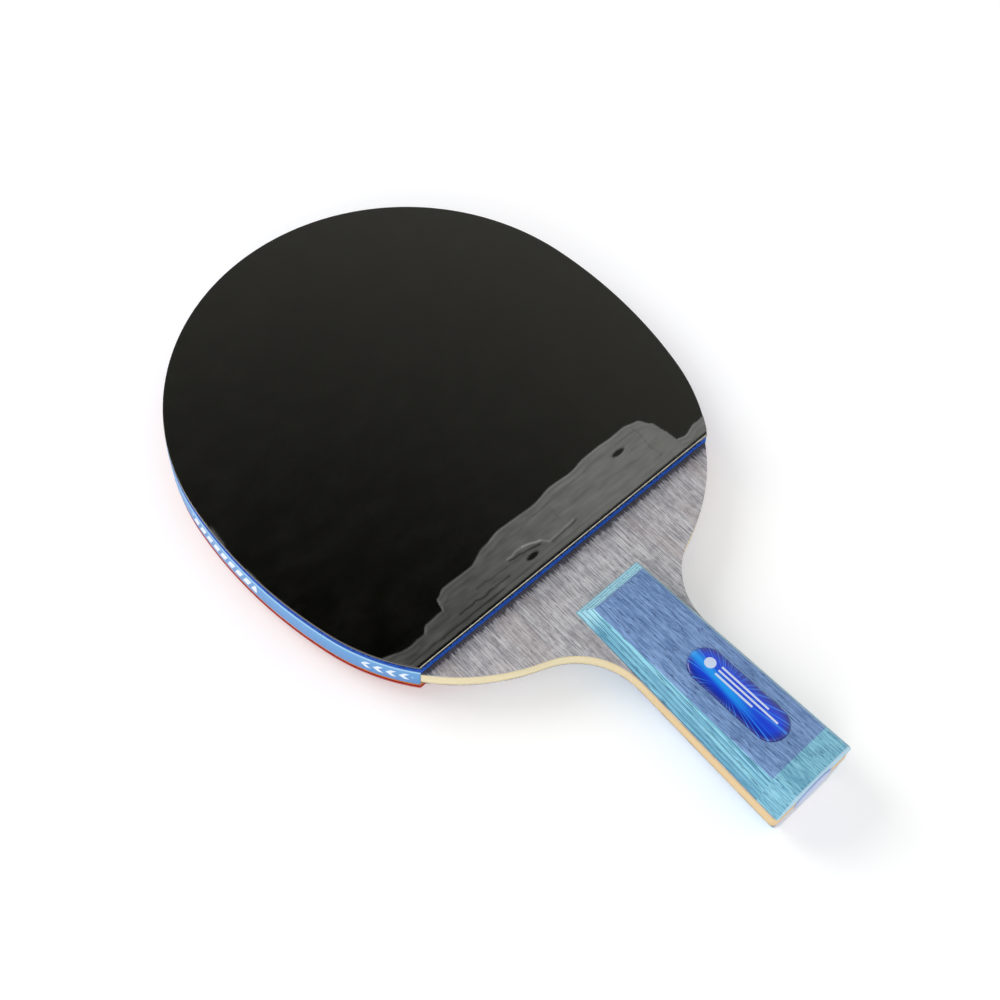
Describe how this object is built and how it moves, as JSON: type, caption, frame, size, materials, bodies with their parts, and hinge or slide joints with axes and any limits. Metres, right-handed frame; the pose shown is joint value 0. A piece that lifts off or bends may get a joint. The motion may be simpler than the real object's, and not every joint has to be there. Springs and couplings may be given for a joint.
{
  "type": "table tennis paddle",
  "caption": "Short-handled penhold table tennis paddle with black and red rubbers on a plywood blade, taped rim and a blue laminated grip.",
  "frame": {"origin": "centre of the bounding box at its lowest level, which is the highest point of the rear half of the grip", "axes": "X across the head, +Y along the handle's centre line towards the tip of the head, +Z out of the black front face"},
  "size_m": [0.1504, 0.2413, 0.0261],
  "materials": {
    "core_wood": "bare light wood, sanded",
    "inner_wood": "bare wood, sanded",
    "grey_veneer": "dyed grey veneer, matt",
    "blue_sponge": "cellular rubber, matt",
    "orange_sponge": "cellular rubber, matt",
    "black_rubber": "smooth, slightly glossy",
    "red_rubber": "smooth, slightly glossy",
    "clear_film": "thin clear protective film",
    "edge_tape": "printed satin tape",
    "cyan_laminate": "dyed laminated veneer, sanded and sealed",
    "blue_grey_veneer": "dyed veneer, sanded and sealed",
    "cyan_wood": "dyed wood, sanded and sealed",
    "blue_badge": "clear domed over a printed ray pattern",
    "lavender_badge": "clear domed over a plain tint"
  },
  "bodies": {
    "root": {"core_ply": "core_wood", "rear_inner_ply": "inner_wood", "front_inner_ply": "inner_wood", "front_face_ply": "grey_veneer", "rear_face_ply": "grey_veneer", "front_sponge": "blue_sponge", "front_topsheet": "black_rubber", "front_film": "clear_film", "rear_sponge": "orange_sponge", "rear_topsheet": "red_rubber", "rear_film": "clear_film", "edge_tape": "edge_tape", "front_grip_base": "cyan_laminate", "rear_grip_base": "cyan_laminate", "front_grip_slab": "blue_grey_veneer", "rear_grip_slab": "blue_grey_veneer", "front_grip_end_block": "cyan_wood", "rear_grip_end_block": "cyan_wood", "grip_badge": "blue_badge", "butt_badge": "lavender_badge"}
  },
  "joints": []
}
